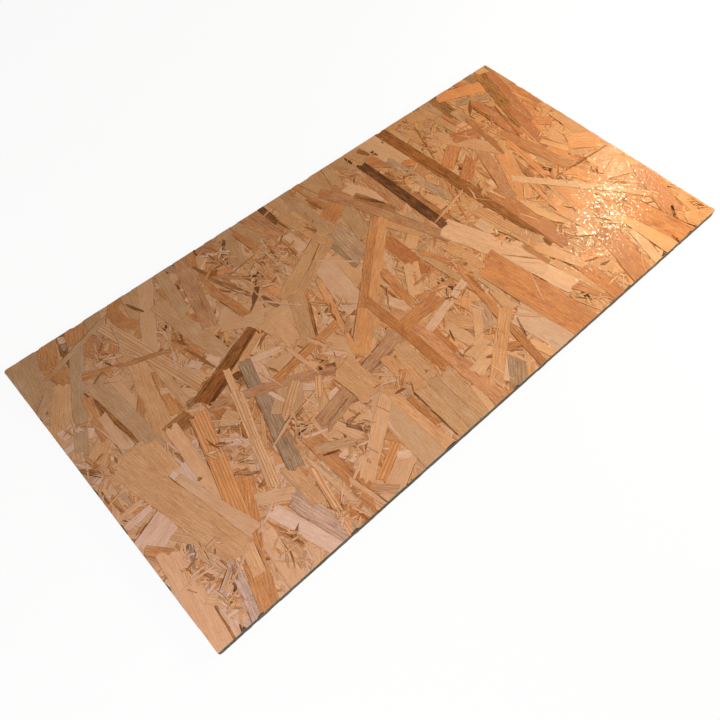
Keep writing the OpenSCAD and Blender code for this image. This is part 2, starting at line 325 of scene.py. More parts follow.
    (12, -62, 27, -82, 14, "honey"), (8, -68, 14, -96, 12, "straw"),
    (36, -94, 49, -70, 13, "grey"), (18, -98, 43, -72, 8, "straw"),
    (0, -104, 24, -100, 12, "straw"), (-8, -118, 22, -112, 12, "straw"),
    (4, -140, 20, -118, 14, "pale"), (20, -84, 19, -92, 4, "umber"),
    (2, -84, 7, -73, 1.5, "bark"), (10, -113, 18, -119, 4, "brown"),
    (0, -98, 11, -98, 2, "orange"), (28, -96, 38, -102, 5, "orange"),
    (8, -152, 31, -128, 15, "ash"), (30, -118, 41, -126, 9, "umber"),
    (26, -119, 34, -141, 4, "straw"), (50, -128, 57, -156, 9, "straw"),
    (64, -98, 74, -156, 25, "pale"), (60, -104, 50, -124, 2, "umber"),
    (62, -101, 79, -119, 3, "straw"), (68, -86, 76, -111, 3, "straw"), (48, 8, 58, -62, 8, "tan"),
    (9, 12, 3, -34, 9, "orange"), (18, -18, 47, -18, 3, "orange"), (21, -18, 30, -7, 3, "orange"),
    (10, -31, 49, -37, 6, "orange"), (-20, -44, 27, -41, 14, "orange"),
    (-6, -61, 57, -45, 8, "pale"), (32, -48, 39, -40, 2, "orange"), (50, 6, 68, -34, 6, "orange"),
    (68, -20, 70, -78, 7, "tan"), (68, -70, 64, -94, 11, "tan"), (52, -90, 40, -156, 8, "russet"),
    (66, -24, 50, -96, 8, "orange"), (63, -42, 60, -66, 4, "brown"),
    (60, -91, -5, -137, 12, "honey"), (118, -4, 120, -22, 14, "pale"),
    (128, 8, 138, -64, 13, "lined"), (124, -114, 135, -136, 7, "orange"),
    (120, -134, 124, -150, 6, "straw"), (133, -82, 142, -138, 10, "honey"),
    (150, -102, 148, -156, 15, "orange"), (137, -36, 147, -62, 9, "tan"),
    (135, -62, 153, -108, 12, "straw"), (112, -52, 125, -116, 20, "pale"),
    (89, 12, 124, -84, 24, "pale"), (127, -55, 130, -83, 6, "orange"),
    (104, -47, 128, -77, 2, "orange"), (86, -43, 100, -156, 33, "orange"),
    # right end, front half
    (158, -120, 190, -104, 22, "honey"), (262, -24, 302, -34, 18, "straw"),
    (270, 8, 298, -14, 22, "amber"), (258, -42, 300, -58, 24, "amber"),
    (200, -30, 236, -78, 30, "amber"), (178, -76, 196, -90, 12, "pale"),
    (196, -62, 226, -96, 18, "straw"), (188, -44, 194, -90, 12, "amber"),
    (270, -136, 298, -152, 15, "honey"), (290, -114, 280, -156, 8, "honey"),
    (156, -98, 191, -116, 12, "amber"), (170, -156, 187, -98, 3, "orange"),
    (220, -110, 205, -156, 11, "pale"), (200, -92, 180, -156, 24, "orange"),
    (230, -90, 229, -156, 19, "straw"), (298, -62, 267, -125, 22, "orange"),
    (241, -83, 254, -156, 26, "orange"), (166, -14, 181, -70, 9, "straw"),
    (158, 12, 161, -80, 17, "russet"), (160, 3, 174, -3, 10, "rose"),
    (176, -17, 190, -4, 6, "honey"), (182, -24, 190, -22, 2, "brown"),
    (198, -4, 196, -26, 4, "orange"), (195, -2, 186, -53, 5, "amber"),
    (180, -36, 204, -28, 3, "honey"), (190, -42, 203, -42, 6, "straw"),
    (206, -18, 200, -52, 5, "tan"), (211, -20, 202, -62, 7, "figured"),
    (236, -18, 253, -58, 15, "amber"), (222, -17, 300, -24, 1.5, "brown"),
    (262, -44, 294, -38, 1.5, "orange"), (288, -34, 297, -62, 8, "amber"),
    (220, 0, 225, -8, 4, "bark"), (185, 12, 266, -84, 9, "pale"),
    (256, -74, 276, -101, 8, "straw"), (263, -128, 274, -118, 3, "bark"),
    (238, -150, 241, -140, 3, "brown"),
]

# Patches of fine chips on the top face: centre x, centre y, radius
FINES = [
    (-230, 105, 12), (-235, 85, 12), (-175, 90, 8), (-180, 60, 10), (-280, 65, 12),
    (-285, 20, 12), (-270, -100, 20), (-268, -125, 12), (-200, -35, 18), (-215, -125, 12),
    (-165, -135, 15), (-150, -58, 12), (-100, -85, 14), (-125, -105, 12), (-85, -20, 12),
    (-50, 10, 12), (-70, 85, 18), (-50, 100, 18), (-45, 85, 12), (-95, 130, 16), (-5, 105, 10),
    (10, 140, 8), (65, 120, 12), (105, 68, 10), (110, 90, 12), (155, 108, 14), (180, 115, 16),
    (160, 140, 10), (183, 65, 8), (225, 75, 12), (155, 15, 8), (230, -18, 10), (250, -8, 8),
    (175, -70, 12), (213, -75, 14), (165, -110, 10), (165, -135, 10), (125, -135, 10),
    (128, -148, 6), (70, -30, 14), (35, -25, 14), (30, -103, 10), (40, -60, 14), (120, -35, 10),
    (140, -50, 8), (265, 30, 10), (280, 20, 8), (270, -95, 8), (295, -130, 10), (-60, -80, 12),
    (236, -58, 8), (246, -50, 6), (226, -72, 6), (216, -82, 6), (262, -36, 5), (252, -22, 5),
    (232, -44, 6),
]

# Open voids of the top face: centre x, centre y, heading in degrees, length, width
VOIDS = [
    (-138, 107, 80, 4, 2), (-145, 47, 75, 7, 2.2), (-175, 95, 20, 7, 4), (-50, 104, 40, 2.5, 2),
    (-85, 81, 15, 6, 2), (-80, 88, 10, 8, 3), (-148, -61, 20, 6, 4), (-153, -60, 60, 4, 3),
    (-100, -26, 40, 5, 4), (-95, -23, 10, 4, 4), (-32, -35, 15, 4, 2), (-47, -61, 50, 3, 1.5),
    (-38, -88, 85, 3.5, 1.6), (81, 140, 85, 9, 2.4), (108, 131, 75, 7, 2.4), (126, 137, 60, 3, 2),
    (21, 53, 20, 4, 2), (222, -4, 110, 8, 3.6), (269, -123, 42, 12, 2.6), (240, -147, 75, 5, 2.5),
]


def linear(red, green, blue):
    """A colour given as 0-255 display values, in the linear values that shaders take."""
    return tuple(((c / 255 + 0.055) / 1.055) ** 2.4 if c > 10 else c / 255 / 12.92
                 for c in (red, green, blue))


# ---------------------------------------------------------------- strands
class Strand:
    """One flat wood strand: a bowed rectangle with wavering sides and splintered ends."""

    def __init__(self, x1, y1, x2, y2, width, tone, bow=0.0):
        self.start = Vector((x1, y1))
        span = Vector((x2, y2)) - self.start
        self.length = span.length
        self.along = span / self.length
        self.across = Vector((-self.along.y, self.along.x))
        self.width = width
        self.tone = tone
        self.bow = bow
        # settle() gives every strand but a void its family, depth and tip
        self.family = None
        self.level = 0.0
        self.tilt = 0.0
        self.cant = 0.0

    def place(self, s, o):
        """Board point of a strand point: s along from the start, o across from the middle."""
        t = s / self.length
        return self.start + self.along * s + self.across * (o + 4 * self.bow * t * (1 - t))

    def local(self, x, y):
        """Strand coordinates (s, o) of a board point."""
        rel = Vector((x, y)) - self.start
        s = rel.dot(self.along)
        t = s / self.length
        return s, rel.dot(self.across) - 4 * self.bow * t * (1 - t)

    def height(self, s, o):
        """Depth of the strand's face below the nominal surface, as a negative height."""
        return self.level + self.tilt * (s / self.length - 0.5) + self.cant * o / self.width

    def outline(self, rng):
        """Outline in strand coordinates, counter-clockwise from the start."""
        half = self.width / 2
        steps = max(2, int(self.length / SIDE_STEP))
        wander = min(WANDER, 0.05 * self.width)
        torn = min(TORN, 0.05 * self.length, 0.25 * self.width)
        teeth = min(MOST_TEETH, int(self.width / TOOTH))
        stations = [self.length * (i + rng.uniform(-0.25, 0.25)) / steps
                    for i in range(1, steps)]
        sides = [[(s, side * half + rng.uniform(-wander, wander)) for s in stations]
                 for side in (-1, 1)]
        ends = []
        for base in (0.0, self.length):
            skew = rng.uniform(-0.3, 0.3) * self.width
            top, low = half, -half
            if self.width < SLIVER:
                skew *= 3
                top *= rng.uniform(0.05, 1.0)
                low *= rng.uniform(0.05, 1.0)
            row = [(base + skew * low / self.width, low)]
            for i in range(teeth):
                o = low + (top - low) * (i + 1 + rng.uniform(-0.3, 0.3)) / (teeth + 1)
                row.append((base + skew * o / self.width + rng.uniform(-torn, torn), o))
            row.append((base + skew * top / self.width, top))
            ends.append(row)
        return sides[0] + ends[1] + sides[1][::-1] + ends[0][::-1]

    def loops(self, rng):
        """The outline and a copy of it a rim's width inside, as board points."""
        outline = self.outline(rng)
        outer = [self.place(s, o) for s, o in outline]
        if self.width < 4 * RIM:
            return outer, None
        run = 1 - 2 * RIM / self.length
        narrow = 1 - 2 * RIM / self.width
        mid = self.length / 2
        return outer, [self.place(mid + (s - mid) * run, o * narrow) for s, o in outline]


def random_strand(rng, x, y, heading, length, width, tone):
    """A strand of a given size centred on a point."""
    dx = math.cos(heading) * length / 2
    dy = math.sin(heading) * length / 2
    bow = rng.uniform(-BOWED, BOWED) * length * (1.3 if width < SLIVER else 1)
    return Strand(x - dx, y - dy, x + dx, y + dy, width, tone, bow)


def scatter(rng, count, lengths, widths, swing, tones):
    """Strands strewn over a face, most of them across the board."""
    made = []
    for _ in range(count):
        x = rng.uniform(-HALF_L, HALF_L)
        y = rng.uniform(-HALF_W, HALF_W)
        heading = math.pi / 2 + rng.gauss(0, swing)
        made.append(random_strand(rng, x, y, heading, rng.uniform(*lengths),
                                  rng.uniform(*widths), rng.choice(tones)))
    return made


def slit(rng, strand):
    """Perhaps a dark slit along one side of a strand, to lie under it: a narrow gap with painted
    shadow in it.
    """
    if rng.random() > SHADED:
        return []
    side = rng.choice((-0.5, 0.5)) * strand.width
    start = strand.place(strand.length * rng.uniform(0.0, 0.4), side)
    end = strand.place(strand.length * rng.uniform(0.7, 1.0), side)
    return [Strand(*start, *end, rng.uniform(0.3, 0.7), "shade", strand.bow * 0.5)]


def fines(rng, x, y, radius, tones):
    """A patch of small chips and slivers round a point."""
    made = []
    for _ in range(int(radius * radius * CHIPS_PER_MM2)):
        reach = radius * math.sqrt(rng.random())
        turn = rng.uniform(0, 2 * math.pi)
        chip = random_strand(rng, x + reach * math.cos(turn), y + reach * math.sin(turn),
                             rng.uniform(0, math.pi), rng.uniform(3, 15),
                             rng.uniform(0.6, 2.8), rng.choice(tones))
        made += slit(rng, chip) + [chip]
    return made


def opening(rng, x, y, turn, length, width):
    """A ragged opening through the skin, with a few slivers across it."""
    heading = math.radians(turn)
    holes = []
    for _ in range(3):
        off = rng.uniform(-0.3, 0.3) * length
        holes.append(random_strand(
            rng, x + off * math.cos(heading), y + off * math.sin(heading),
            heading + rng.uniform(-0.6, 0.6), length * rng.uniform(0.6, 1.0),
            width * rng.uniform(0.5, 0.9), "void"))
    slivers = [random_strand(
        rng, x + rng.uniform(-1.5, 1.5), y + rng.uniform(-1.5, 1.5), rng.uniform(0, math.pi),
        width + rng.uniform(2, 5), rng.uniform(0.5, 1.0), rng.choice(CHIP)) for _ in range(2)]
    settle(slivers, rng, -0.55, -0.30)
    return holes + slivers


def painted_light_at(spot):
    """The painted light at a point of the board: how the wood's colour leans there."""
    u = min(1.0, max(-1.0, spot.x / HALF_L))
    v = min(1.0, max(-1.0, spot.y / HALF_W))
    return [sum(PAINTED_LIGHT_LEAN[i, j][k] * (1 + i * u) * (1 + j * v) / 4 for i in (-1, 1) for j in (-1, 1))
            for k in range(3)]


def settle(strands, rng, low, high, tip=0.05):
    """Give each strand its depth, later ones nearer the surface, its tip and its own colour, with
    the painted light of its place multiplied in.
    """
    last = max(1, len(strands) - 1)
    for rank, strand in enumerate(strands):
        strand.level = low + (high - low) * (rank / last) + rng.uniform(-0.05, 0.05)
        strand.tilt = rng.uniform(-2, 2) * tip
        strand.cant = rng.uniform(-1, 1) * tip
        # no corner stands above the nominal surface
        strand.level = min(strand.level, -0.03 - abs(strand.tilt) / 2 - abs(strand.cant) / 2)
        strand.family, colour, strand.figure = TONES[strand.tone]
        lift = rng.gauss(0, LIFT)
        warmth = rng.gauss(0, WARMTH)
        shift = (lift + warmth, lift, lift - warmth)
        # painted light: the warmer, more orange light towards the right and the paler front left,
        # multiplied into the tint
        painted_light = painted_light_at(strand.start + strand.along * strand.length / 2)
        strand.tint = (*(min(1.0, c * (1 + s) * k)
                         for c, s, k in zip(linear(*colour), shift, painted_light)), 1.0)
        strand.seed = rng.random()
        strand.slip = (rng.uniform(0, 2000), rng.uniform(0, 400))


# ---------------------------------------------------------------- planar arrangement
def edge_distance(point, loop):
    """Distance from a point to a closed loop of points."""
    x, y = point
    best = math.inf
    ax, ay = loop[-1]
    for bx, by in loop:
        dx, dy = bx - ax, by - ay
        t = ((x - ax) * dx + (y - ay) * dy) / (dx * dx + dy * dy + 1e-12)
        t = max(0.0, min(1.0, t))
        best = min(best, (x - ax - dx * t) ** 2 + (y - ay - dy * t) ** 2)
        ax, ay = bx, by
    return math.sqrt(best)


def edges_of(triangle):
    """The three directed edges of a triangle."""
    a, b, c = triangle
    return (a, b), (b, c), (c, a)


def half_edges(triangles):
    """Every directed edge of some triangles, with the number of its triangle."""
    return {edge: number for number, triangle in enumerate(triangles)
            for edge in edges_of(triangle)}


def overlay(board, loops, folds):
    """Cut a face into triangles along the strands' loops.

    Returns the points, the triangles inside the board, and for each of them the topmost strand
    (-1 for none), whether it is off that strand's rim, and the number of folds before it.
    """
    points, faces, owner = list(board), [list(range(len(board)))], [(-1, False)]
    for rank, pair in enumerate(loops):
        for inner, loop in enumerate(pair):
            if loop:
                faces.append(list(range(len(points), len(points) + len(loop))))
                points.extend(loop)
                owner.append((rank, inner == 1))
    creases = []
    for x in folds:
        creases.append((len(points), len(points) + 1))
        points += [Vector((x, min(y for _, y in board))), Vector((x, max(y for _, y in board)))]
    flat, _, cells, _, _, origins = delaunay_2d_cdt(points, creases, faces, 1, CDT_GAP)
    kept, label = [], []
    for cell, origin in zip(cells, origins):
        if 0 not in origin:
            continue
        rank = max(owner[face][0] for face in origin)
        inner = any(owner[face] == (rank, True) for face in origin)
        kept.append(cell)
        label.append((rank, inner, bisect.bisect(folds, sum(flat[p].x for p in cell) / 3)))
    return flat, kept, label


def spilt(flat, kept, label, loops):
    """Strands that seem to cover more than their outlines, which the cutting got wrong."""
    cover = {}
    for (a, b, c), (rank, _, _) in zip(kept, label):
        cover[rank] = cover.get(rank, 0.0) + (flat[b] - flat[a]).cross(flat[c] - flat[a]) / 2
    wrong = []
    for rank, area in cover.items():
        outline = loops[rank][0]
        if rank >= 0 and area > 0.5 + SPILL * sum(
                a.cross(b) / 2 for a, b in zip([outline[-1]] + outline, outline)):
            wrong.append(rank)
    return wrong


def borders(triangles, label):
    """The directed edges at which a label ends, each with the label on its own side."""
    sides = half_edges(triangles)
    found = {}
    for (a, b), number in sides.items():
        other = sides.get((b, a))
        if other is None or label[other] != label[number]:
            found[a, b] = label[number]
    return found


def straighten(border, flat):
    """Take the points that only a hidden strand put there out of a border."""
    neighbours = {}
    for a, b in border:
        neighbours.setdefault(a, set()).add(b)
        neighbours.setdefault(b, set()).add(a)
    for p, near in neighbours.items():
        if len(near) != 2:
            continue
        a, b = near
        chord = flat[b] - flat[a]
        if b in neighbours[a] or abs(chord.cross(flat[p] - flat[a])) > STRAIGHT * chord.length:
            continue
        neighbours[a].discard(p)
        neighbours[b].discard(p)
        neighbours[a].add(b)
        neighbours[b].add(a)
        neighbours[p] = set()
        for u, v in ((a, b), (b, a)):
            if (u, p) in border and (p, v) in border:
                border[u, v] = border[u, p]
                del border[u, p], border[p, v]


def redraw(border, flat):
    """Cut what a border encloses into as few triangles as it takes.

    Returns the points, the triangles, their half edges and the label of each (None outside).
    """
    used = {}
    for a, b in border:
        used.setdefault(a, len(used))
        used.setdefault(b, len(used))
    ends = [flat[p] for p in used]
    edges = sorted({tuple(sorted((used[a], used[b]))) for a, b in border})
    known = {(used[a], used[b]): here for (a, b), here in border.items()}
    flat, lines, cells, _, sources, _ = delaunay_2d_cdt(ends, edges, [], 1, 0.0)

    # label the new triangles at the borders; where two differ, the longer border is right
    sides = half_edges(cells)
    fixed = set()
    marks = []
    for line, source in zip(lines, sources):
        if not source:
            continue
        a, b = edges[source[0]]
        for u, v in (line, line[::-1]):
            fixed.add((u, v))
            run = flat[v] - flat[u]
            here = known.get((a, b) if run.dot(ends[b] - ends[a]) > 0 else (b, a))
            if here is not None and (u, v) in sides:
                marks.append((run.length, sides[u, v], here))
    label = [None] * len(cells)
    queue = []
    for _, number, here in sorted(marks):
        label[number] = here
        queue.append(number)

    # spread them over the rest
    while queue:
        number = queue.pop()
        for u, v in edges_of(cells[number]):
            other = sides.get((v, u))
            if (u, v) not in fixed and other is not None and label[other] is None:
                label[other] = label[number]
                queue.append(other)
    return flat, cells, sides, label


def gather(cells, sides, label):
    """The groups of connected triangles that share a strand and a fold, each with its strand."""
    groups = []
    seen = [False] * len(cells)
    for start, here in enumerate(label):
        if seen[start] or here is None or here[0] < 0:
            continue
        rank, _, zone = here
        seen[start] = True
        queue = [start]
        group = []
        while queue:
            number = queue.pop()
            group.append(number)
            for u, v in edges_of(cells[number]):
                other = sides.get((v, u))
                if other is None or seen[other] or label[other] is None:
                    continue
                if label[other][0] == rank and label[other][2] == zone:
                    seen[other] = True
                    queue.append(other)
        groups.append((rank, group))
    return groups


def arrange(board, strands, rng, folds=()):
    """Lay the strands over each other and keep what shows.

    board is the outline that cuts them off, and later strands lie over earlier ones. Bits are
    also parted at the folds, which are values of x. The result is the points, and for each
    visible bit its strand, the strand's outline, its triangles and whether each is off the rim.
    """
    loops = [strand.loops(rng) for strand in strands]
    flat, kept, label = overlay(board, loops, folds)
    for _ in range(TRIES):
        wrong = spilt(flat, kept, label, loops)
        if not wrong:
            break
        for rank in wrong:
            loops[rank] = strands[rank].loops(rng)
        flat, kept, label = overlay(board, loops, folds)
    border = borders(kept, label)
    straighten(border, flat)
    flat, cells, sides, label = redraw(border, flat)
    return flat, [(strands[rank], loops[rank][0], [cells[n] for n in group],
                   [label[n][1] for n in group]) for rank, group in gather(cells, sides, label)]


# ---------------------------------------------------------------- pieces
class Piece:
    """Collects the tiles of one piece, with the values that its material reads."""

    def __init__(self, name, material):
        self.name = name
        self.material = material
        self.points = []
        self.faces = []
        self.tint = []
        self.mark = []
        self.grain = []
        self.islands = []

    def point(self, spot):
        """Add a point; returns its number."""
        self.points.append(spot)
        return len(self.points) - 1

    def face(self, corners, tint, marks, grain):
        """Add a face; returns the number of its first corner."""
        first = len(self.tint)
        self.faces.append(corners)
        self.tint.extend([tint] * len(corners))
        self.mark.extend(marks)
        self.grain.extend(grain)
        return first

    def build(self):
        """Make the Blender object, with its grain and bake coordinates."""
        mesh = bpy.data.meshes.new(self.name)
        mesh.from_pydata(self.points, [], self.faces)
        for name, values in (("tint", self.tint), ("mark", self.mark)):
            layer = mesh.color_attributes.new(name, "FLOAT_COLOR", "CORNER")
            layer.data.foreach_set("color", [c for row in values for c in row])
        grain = mesh.uv_layers.new(name="grain")
        grain.data.foreach_set("uv", [c for row in self.grain for c in row])
        bake = mesh.uv_layers.new(name="OFBake")
        bake.data.foreach_set("uv", pack(self.islands, len(self.grain)))
        mesh.materials.append(self.material)
        made = bpy.data.objects.new(self.name, mesh)
        bpy.context.scene.collection.objects.link(made)
        dress(made)


def dress(piece):
    """Tie a piece to the board that it stands for."""
    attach(piece, "root")
    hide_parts("board")


def shelve(islands, order, side):
    """Where each island goes on the shelves of a square, or None if they overflow it."""
    x = y = GUTTER
    shelf = 0.0
    at = {}
    for i in order:
        w, h, _ = islands[i]
        if x + w + GUTTER > side:
            x = GUTTER
            y += shelf + GUTTER
            shelf = 0.0
        shelf = max(shelf, h)
        at[i] = (x, y)
        x += w + GUTTER
    return at if y + shelf + GUTTER <= side else None


def pack(islands, corners):
    """Shelve flat islands in a square, the deepest first; returns u and v of every corner."""
    order = sorted(range(len(islands)), key=lambda i: (-islands[i][1], i))
    side = math.sqrt(sum((w + GUTTER) * (h + GUTTER) for w, h, _ in islands))
    side = max(side, max(w for w, _, _ in islands) + 2 * GUTTER)
    at = shelve(islands, order, side)
    while at is None:
        side *= GROWTH
        at = shelve(islands, order, side)
    uv = [0.0] * (2 * corners)
    for i, (_, _, spots) in enumerate(islands):
        left, low = at[i]
        for corner, x, y in spots:
            uv[2 * corner] = (left + x) / side
            uv[2 * corner + 1] = (low + y) / side
    return uv


class Tile:
    """One visible bit of a strand, as a closed tile of a piece down to a floor height."""

    def __init__(self, piece, flat, bit, place, floor):
        self.piece = piece
        self.flat = flat
        self.place = place
        self.floor = floor
        self.strand, outline, self.cells, inner = bit
        core = {p for cell, inside in zip(self.cells, inner) if inside for p in cell}
        self.spot, self.rim, self.top, self.low = {}, {}, {}, {}
        for cell in self.cells:
            for p in cell:
                if p in self.spot:
                    continue
                x, y = flat[p]
                s, o = self.strand.local(x, y)
                rim = 0.0
                if core and p not in core:
                    rim = max(0.0, 1.0 - edge_distance((x, y), outline) / RIM)
                self.spot[p] = (s, o)
                self.rim[p] = rim
                self.top[p] = piece.point(place(x, y, self.strand.height(s, o) - RIM_DROP * rim))

    def grain(self, p, drop=0.0):
        """Grain coordinates of a point, or of one some way down the wall below it."""
        s, o = self.spot[p]
        return s + self.strand.slip[0], o + self.strand.slip[1] + drop

    def mark(self, rim, sawn):
        """What the material reads besides the tint."""
        return self.strand.figure, rim, sawn, self.strand.seed

    def sink(self, p):
        """Add the point below a point of the tile."""
        self.low[p] = self.piece.point(self.place(*self.flat[p], self.floor))

    def sheet(self, cells, ends, rim, sawn, share):
        """Add faces between the points in ends; returns their island, at a share of its size."""
        left = min(s for s, _ in self.spot.values())
        low = min(o for _, o in self.spot.values())
        corners = []
        for cell in cells:
            first = self.piece.face(tuple(ends[p] for p in cell), self.strand.tint,
                                    [self.mark(rim.get(p, 0.0), sawn) for p in cell],
                                    [self.grain(p) for p in cell])
            for i, p in enumerate(cell):
                s, o = self.spot[p]
                corners.append((first + i, (s - left) * share, (o - low) * share))
        return max(x for _, x, _ in corners), max(y for _, _, y in corners), corners

    def skin(self, sawn):
        """The face that shows, with its island laid down lengthwise."""
        wide, high, corners = self.sheet(self.cells, self.top, self.rim, sawn, 1.0)
        if high > wide:
            corners = [(corner, y, wide - x) for corner, x, y in corners]
            wide, high = high, wide
        self.piece.islands.append((wide, high, corners))

    def walls(self, is_sawn):
        """Walls down from the borders, with their islands in rows; returns the borders."""
        sides = half_edges(self.cells)
        follow = {a: b for a, b in sides if (b, a) not in sides}
        for p in follow:
            self.sink(p)
        loops = []
        while follow:
            start, b = follow.popitem()
            loop = [start]
            while b != start and b in follow:
                loop.append(b)
                b = follow.pop(b)
            loops.append(loop)
        deep = self.strand.level - self.floor
        tall = max(LEAST_FALL, deep)
        row, x = [], 0.0
        for a, b in [side for loop in loops for side in zip(loop, loop[1:] + loop[:1])]:
            # walls off the saw cut take the full rim darkening, painted shade in the steps between
            # strands; walls on the cut take the painted shade of the sawn ends
            cut = 1.0 if is_sawn(self.flat[a]) and is_sawn(self.flat[b]) else 0.0
            first = self.piece.face(
                (self.top[a], self.low[a], self.low[b], self.top[b]), self.strand.tint,
                [self.mark(1.0 - cut, cut)] * 4,
                [self.grain(a), self.grain(a, deep), self.grain(b, deep), self.grain(b)])
            length = (self.flat[b] - self.flat[a]).length
            if x and x + length > STRIP:
                self.piece.islands.append((x, tall, row))
                row, x = [], 0.0
            length = max(length, LEAST_RUN)
            row += [(first, x, tall), (first + 1, x, 0.0), (first + 2, x + length, 0.0),
                    (first + 3, x + length, tall)]
            x += length
        self.piece.islands.append((x, tall, row))
        return loops

    def underside(self, loops):
        """The hidden back: one face, or one for each triangle where the tile has a hole."""
        cells = loops if len(loops) == 1 else self.cells
        for cell in cells:
            for p in cell:
                if p not in self.low:
                    self.sink(p)
        self.piece.islands.append(
            self.sheet([cell[::-1] for cell in cells], self.low, {}, 0.0, HIDDEN_SHARE))


def tile(piece, flat, bit, place, floor, is_sawn, face_sawn=0.0):
    """Add one visible bit of a strand to a piece."""
    made = Tile(piece, flat, bit, place, floor)
    made.skin(face_sawn)
    made.underside(made.walls(is_sawn))


# ---------------------------------------------------------------- wood
class Graph:
    """A short way to write shader nodes."""

    def __init__(self, tree):
        self.tree = tree

    def node(self, kind, **settings):
        made = self.tree.nodes.new(kind)
        for key, value in settings.items():
            setattr(made, key, value)
        return made

    def feed(self, socket, value):
        if isinstance(value, bpy.types.NodeSocket):
            self.tree.links.new(value, socket)
        elif isinstance(value, tuple) and socket.type == "RGBA" and len(value) == 3:
            socket.default_value = (*value, 1.0)
        else:
            socket.default_value = value

    def math(self, operation, *values, clamp=False):
        made = self.node("ShaderNodeMath", operation=operation, use_clamp=clamp)
        for socket, value in zip(made.inputs, values):
            self.feed(socket, value)
        return made.outputs[0]

    def span(self, value, low, high, to_low=0.0, to_high=1.0):
        """A value's place between two bounds, eased and clamped."""
        made = self.node("ShaderNodeMapRange", interpolation_type="SMOOTHSTEP")
        for socket, number in zip(made.inputs, (value, low, high, to_low, to_high)):
            self.feed(socket, number)
        return made.outputs[0]

    def mix(self, share, first, second):
        """A mix of two colours; inputs 6 and 7 and output 2 are the node's colour sockets."""
        made = self.node("ShaderNodeMix", data_type="RGBA", clamp_factor=True)
        self.feed(made.inputs[0], share)
        self.feed(made.inputs[6], first)
        self.feed(made.inputs[7], second)
        return made.outputs[2]

    def noise(self, vector, scale, detail=3.0, rough=0.55):
        """Noise over the grain coordinates, stretched by a scale along and across it."""
        mapping = self.node("ShaderNodeMapping")
        self.feed(mapping.inputs["Vector"], vector)
        mapping.inputs["Scale"].default_value = (*scale, 1.0)
        made = self.node("ShaderNodeTexNoise", noise_dimensions="2D")
        self.feed(made.inputs["Vector"], mapping.outputs[0])
        made.inputs["Scale"].default_value = 1.0
        made.inputs["Detail"].default_value = detail
        made.inputs["Roughness"].default_value = rough
        return made.outputs["Fac"]


